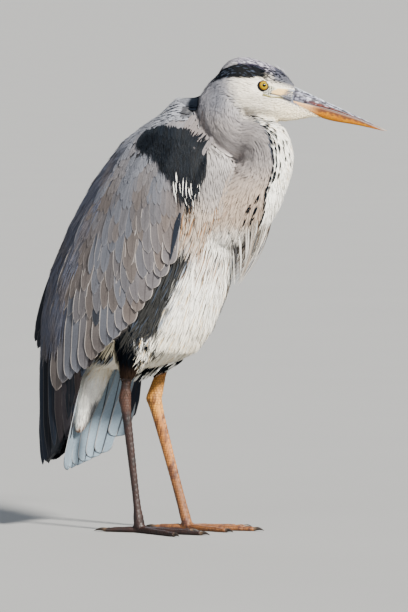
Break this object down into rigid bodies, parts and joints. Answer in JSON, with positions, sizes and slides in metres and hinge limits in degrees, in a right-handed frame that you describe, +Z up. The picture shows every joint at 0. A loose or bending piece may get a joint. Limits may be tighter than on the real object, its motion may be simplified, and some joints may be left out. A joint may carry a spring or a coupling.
{
  "type": "heron",
  "caption": "Hunched grey heron resting on both legs, neck drawn into an S and head turned to its left: a life-size still model of a wading bird.",
  "frame": {"origin": "The middle of the bird's box, on the floor that its toes stand on.", "axes": "+X is the way that the body faces, +Y is the bird's left side, +Z is up. The head is turned 22 degrees from +X towards +Y."},
  "size_m": [0.4172, 0.154, 0.5718],
  "materials": {
    "face_feathers": "short soft cream-white feathers with a black stripe over the eye",
    "neck_feathers": "short soft warm grey feathers, white in front with black streaks",
    "white_feathers": "long loose cream-white feathers, black along the flank",
    "grey_feathers": "long narrow grey plumes with pale edges",
    "wing_feathers": "grey coverts with brownish middles and pale edges, slate-black primaries",
    "tail_feathers": "pale blue-grey tail feathers, satin",
    "bill_grey": "mottled grey horn with a reddish-brown cutting edge, satin",
    "bill_orange": "orange-yellow horn, paler at the base, satin",
    "eye": "bright yellow iris round a small black pupil under a wet clear surface",
    "dark_leg": "dark brown scaled skin with a pinkish gloss",
    "tan_leg": "orange-tan scaled skin with brown mottling",
    "claw": "dark horn"
  },
  "bodies": {
    "root": {"head": "face_feathers", "bill_upper": "bill_grey", "bill_lower": "bill_orange", "eye_r": "eye", "eye_l": "eye", "neck_upper": "neck_feathers", "neck_mid": "neck_feathers", "neck_lower": "neck_feathers", "breast_plumes": "white_feathers", "trunk": "white_feathers", "mantle": "grey_feathers", "wing_r": "wing_feathers", "wing_l": "wing_feathers", "undertail": "white_feathers", "tail": "tail_feathers", "thigh_r": "white_feathers", "thigh_l": "white_feathers", "tibia_r": "dark_leg", "tibia_l": "tan_leg", "tarsus_r": "dark_leg", "tarsus_l": "tan_leg", "toe_inner_r": "dark_leg", "toe_middle_r": "dark_leg", "toe_outer_r": "dark_leg", "hallux_r": "dark_leg", "toe_inner_l": "tan_leg", "toe_middle_l": "tan_leg", "toe_outer_l": "tan_leg", "hallux_l": "tan_leg", "claw_toe_inner_r": "claw", "claw_toe_middle_r": "claw", "claw_toe_outer_r": "claw", "claw_hallux_r": "claw", "claw_toe_inner_l": "claw", "claw_toe_middle_l": "claw", "claw_toe_outer_l": "claw", "claw_hallux_l": "claw"}
  },
  "joints": []
}
